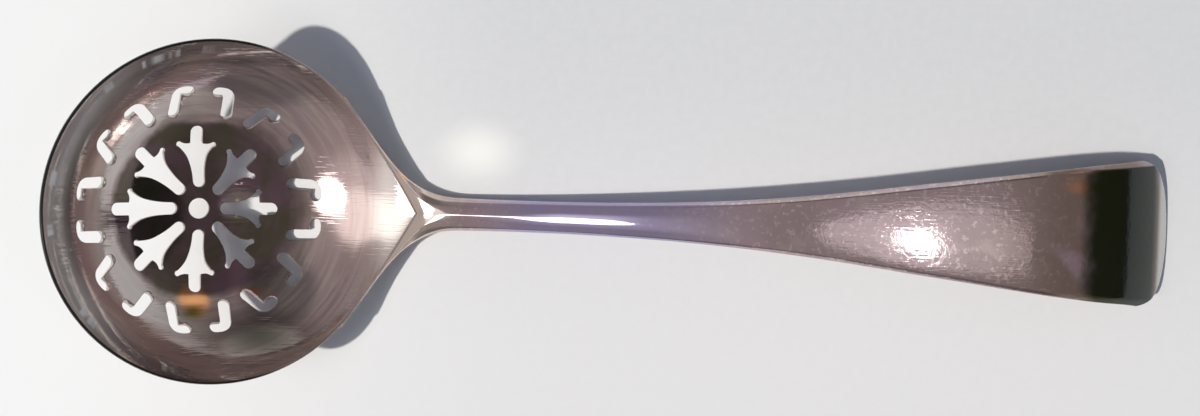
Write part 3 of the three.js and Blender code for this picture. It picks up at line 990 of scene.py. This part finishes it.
def handle_silver():
    """Silver worn by the hand, mauve-brown on the blade, with painted light: a violet reflection on the stem,
    a sheen and highlights at the neck, and a dark reflection at the turned end.
    """
    material, tree = finish_tree("worn_handle_silver_with_painted_reflections")
    along, aside, _ = split(tree, placed(tree))
    mottle = grain(tree, placed(tree), scale=230, detail=5.0, roughness=0.6, distortion=0.3)
    broad = grain(tree, placed(tree), scale=55, detail=3.0, roughness=0.5, distortion=0.4)
    flecks = grain(tree, placed(tree), scale=1500, detail=2.0)
    fine = grain(tree, placed(tree), scale=1300, detail=3.0, roughness=0.6)

    shade = blended(tree, graded(tree, broad, rose_cut), handle_mauve, handle_rose)
    shade = laid_over(tree, shade, handle_tones, {
        "worn": graded(tree, mottle, worn_cut),
        "flecks": graded(tree, flecks, fleck_cut),
        "painted_neck_sheen": crossed(tree, along, neck_stretch),
        "painted_shoulder_highlights": crossed(tree, along, shoulder_stretch),
        "painted_stem_reflection": product(tree, crossed(tree, along, stem_start), crossed(tree, along, stem_stop)),
    })
    growth = product(tree, crossed(tree, along, stain_growth), stain_strength)
    stained = sum_of(tree, growth, product(tree, mottle, stain_mottle))
    stain = blended(tree, graded(tree, broad, stain_cut), stain_brown, stain_mauve)
    shade = blended(tree, product(tree, stained, crossed(tree, along, stain_stretch)), shade, stain)
    shade = laid_over(tree, shade, handle_tones, {"orange": spot(tree, placed(tree), orange_patch)})
    shade = painted_dark_end(tree, shade, along, aside, mottle)
    shade = laid_over(tree, shade, handle_tones, {"painted_end_band": crossed(tree, along, band_stretch)})

    on_blade = product(tree, crossed(tree, along, blade_stretch), blade_roughness)
    roughness = sum_of(tree, product(tree, mottle, handle_grain_roughness), on_blade, handle_roughness)
    handled = crossed(tree, along, handled_stretch, stem_scratched, 1.0)
    lines = scratches(tree, handle_scratch_turns, scale=170, depth=handle_scratch_depth)
    height = product(tree, sum_of(tree, lines, product(tree, fine, handle_fine_depth)), handled)
    metal(tree, shade, roughness, height, strength=0.4, distance=0.05 * MM)
    return material


solder_pale = colour(0.60, 0.53, 0.50)
solder_brown = colour(0.48, 0.41, 0.38)
solder_roughness, solder_grain_roughness = 0.15, 0.2


def solder_finish():
    material, tree = finish_tree("dull_solder")
    mottle = grain(tree, placed(tree), scale=500, detail=3.0)
    shade = blended(tree, mottle, solder_brown, solder_pale)
    roughness = sum_of(tree, product(tree, mottle, solder_grain_roughness), solder_roughness)
    metal(tree, shade, roughness, mottle, strength=0.2, distance=0.03 * MM)
    return material


# painted light: the table is painted lighter at the left and in front and darker towards the back right, as
# the light falls off
table_left = colour(0.93, 0.915, 0.88)
table_front = colour(0.815, 0.79, 0.765)
table_back = colour(0.705, 0.695, 0.68)
table_tones = {
    "speckle": (colour(0.90, 0.89, 0.87), 0.10),
    "painted_glow": (colour(0.99, 0.96, 0.88), 0.95),
}
table_back_stretch, table_right_stretch = (-25, 30), (-45, 35)
speckle_cut = (0.3, 0.7)
# painted glow of light thrown by the bowl onto the table
painted_glow_patch = ((24.0, 9.2), (8.5, 6.2))
table_roughness = 0.7


def table_finish():
    """Pale table with painted light: lightest at the left and in front and darker towards the back right,
    with a painted glow that the bowl throws on it.
    """
    material, tree = finish_tree("pale_table")
    place = placed(tree)
    x, y, _ = split(tree, place)
    speckle = grain(tree, place, scale=700, detail=3.0)
    right = blended(tree, crossed(tree, y, table_back_stretch), table_front, table_back)
    shade = blended(tree, crossed(tree, x, table_right_stretch), table_left, right)
    shade = laid_over(tree, shade, table_tones, {
        "speckle": graded(tree, speckle, speckle_cut),
        "painted_glow": spot(tree, place, painted_glow_patch),
    })
    shader = add(tree, "ShaderNodeBsdfPrincipled", {"Base Color": shade, "Roughness": table_roughness})
    add(tree, "ShaderNodeOutputMaterial", {"Surface": shader})
    return material


# The spoon

bowl = pierced_bowl(bowl_silver())
handle = forked_handle()
handle.data.materials.append(handle_silver())
seam = solder_bead(solder_finish())

for piece, node, slot in (
    (bowl, "pierced_bowl", "bowl_silver"),
    (handle, "forked_handle", "handle_silver"),
    (seam, "solder_seam", "solder"),
):
    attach(piece, "root")
    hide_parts(node)


# Table, room, lights and camera

table_half = 1.5

# Room: zones in the order in which they lie over one another, each with the turn and rise of
# its middle, its inner and outer angle in degrees, and its colour
room_low = colour(0.40, 0.385, 0.36)
room_high = colour(0.26, 0.22, 0.215)
room_span = (0.05, 0.40)
room_zones = {
    "beam": ((90, 44), (14, 24), colour(0.06, 0.05, 0.045)),
    "wall": ((92, 6), (14, 21), colour(0.78, 0.81, 0.78)),
    "bench": ((-90, 5), (16, 26), colour(0.06, 0.05, 0.045)),
    "window": ((-168, 46), (8, 30), colour(0.62, 0.57, 0.56)),
    "pane": ((180, 50), (9, 17), colour(1.25, 1.2, 1.15)),
    "ember": ((49, 17), (6, 9), colour(1.0, 0.55, 0.25)),
    "curtain": ((0, 8), (20, 27), colour(0.045, 0.045, 0.03)),
}
room_light = colour(0.148, 0.18, 0.245)
backdrop = colour(0.78, 0.775, 0.76)

key_energy = 2.6
key_softness = math.radians(1.8)
key_colour = (1.0, 0.98, 0.95)
key_way = (-0.58, -0.203, 1)

# Lamps: place, point aimed at, length and width in metres, and brightness
lamps = {
    "bowl_lamp": ((-0.087, -0.038, 0.207), (0.005, 0, 0), (0.074, 0.074), 4.5),
    "handle_lamp": ((0.099, -0.0185, 0.207), (0.088, 0, 0.013), (0.010, 0.008), 45.0),
    "handle_glow": ((0.101, -0.0175, 0.212), (0.088, 0, 0.013), (0.10, 0.06), 0.5),
}

# Camera that was fitted to the photo: its focal length in pixels, place, and turns in degrees
picture_width = 1200
focal_pixels = 1409.41
sensor_width = 36
nearest_seen = 0.01
camera_place = (0.058087, 0.009343, 0.207556)
camera_turns = (-2.0889, 4.3835, 1.3536)


def make_table():
    corners = [(x * table_half, y * table_half, 0) for x, y in ((-1, -1), (1, -1), (1, 1), (-1, 1))]
    mesh = bpy.data.meshes.new("table")
    mesh.from_pydata(corners, [], [(0, 1, 2, 3)])
    mesh.materials.append(table_finish())
    place_object("table", mesh)


def towards(turn, rise):
    """Direction at a turn about the upright from +X, and a rise above the table, in degrees."""
    turn, rise = math.radians(turn), math.radians(rise)
    return (math.cos(rise) * math.cos(turn), math.cos(rise) * math.sin(turn), math.sin(rise))


def cone(tree, way, middle, inner, outer):
    """Share that is 1 within the inner angle of a direction and 0 beyond the outer one, in degrees."""
    nearness = add(tree, "ShaderNodeVectorMath", {0: way, 1: middle}, operation="DOT_PRODUCT")
    span = (math.cos(math.radians(outer)), math.cos(math.radians(inner)))
    return graded(tree, nearness.outputs["Value"], span)


def make_world():
    """Studio room, seen only in reflections; its diffuse light and the backdrop are plain."""
    world = bpy.data.worlds.new("studio")
    bpy.context.scene.world = world
    world.use_nodes = True
    tree = world.node_tree
    tree.nodes.clear()
    way = add(tree, "ShaderNodeTexCoord").outputs["Generated"]
    shade = blended(tree, graded(tree, split(tree, way)["Z"], room_span), room_low, room_high)
    for middle, (inner, outer), tone in room_zones.values():
        shade = blended(tree, cone(tree, way, towards(*middle), inner, outer), shade, tone)
    ray = add(tree, "ShaderNodeLightPath").outputs
    shade = blended(tree, ray["Is Diffuse Ray"], shade, room_light)
    shade = blended(tree, ray["Is Camera Ray"], shade, backdrop)
    add(tree, "ShaderNodeOutputWorld", {"Surface": add(tree, "ShaderNodeBackground", {"Color": shade})})


def make_lights():
    """Sun-like key for the shadows, and soft oval lamps near the camera for the bright spots."""
    key = bpy.data.lights.new("key", "SUN")
    key.energy = key_energy
    key.angle = key_softness
    key.color = key_colour
    sun = place_object("key", key)
    sun.rotation_euler = Vector(key_way).to_track_quat("Z", "Y").to_euler()
    sun.visible_glossy = False
    for name, (place, aim, (long, wide), brightness) in lamps.items():
        light = bpy.data.lights.new(name, "AREA")
        light.shape = "ELLIPSE"
        light.size = long
        light.size_y = wide
        light.energy = brightness * math.pi * (math.pi * long * wide / 4)
        lamp = place_object(name, light)
        lamp.location = place
        away = (Vector(place) - Vector(aim)).normalized()
        lamp.rotation_euler = (-math.asin(away.y), math.atan2(away.x, away.z), 0)


def make_camera():
    view = bpy.data.cameras.new("camera")
    view.sensor_width = sensor_width
    view.lens = focal_pixels / picture_width * sensor_width
    view.clip_start = nearest_seen
    camera = place_object("camera", view)
    camera.location = camera_place
    camera.rotation_euler = [math.radians(turn) for turn in camera_turns]
    bpy.context.scene.camera = camera


make_table()
make_world()
make_lights()
make_camera()
bpy.context.scene.view_settings.view_transform = "Standard"
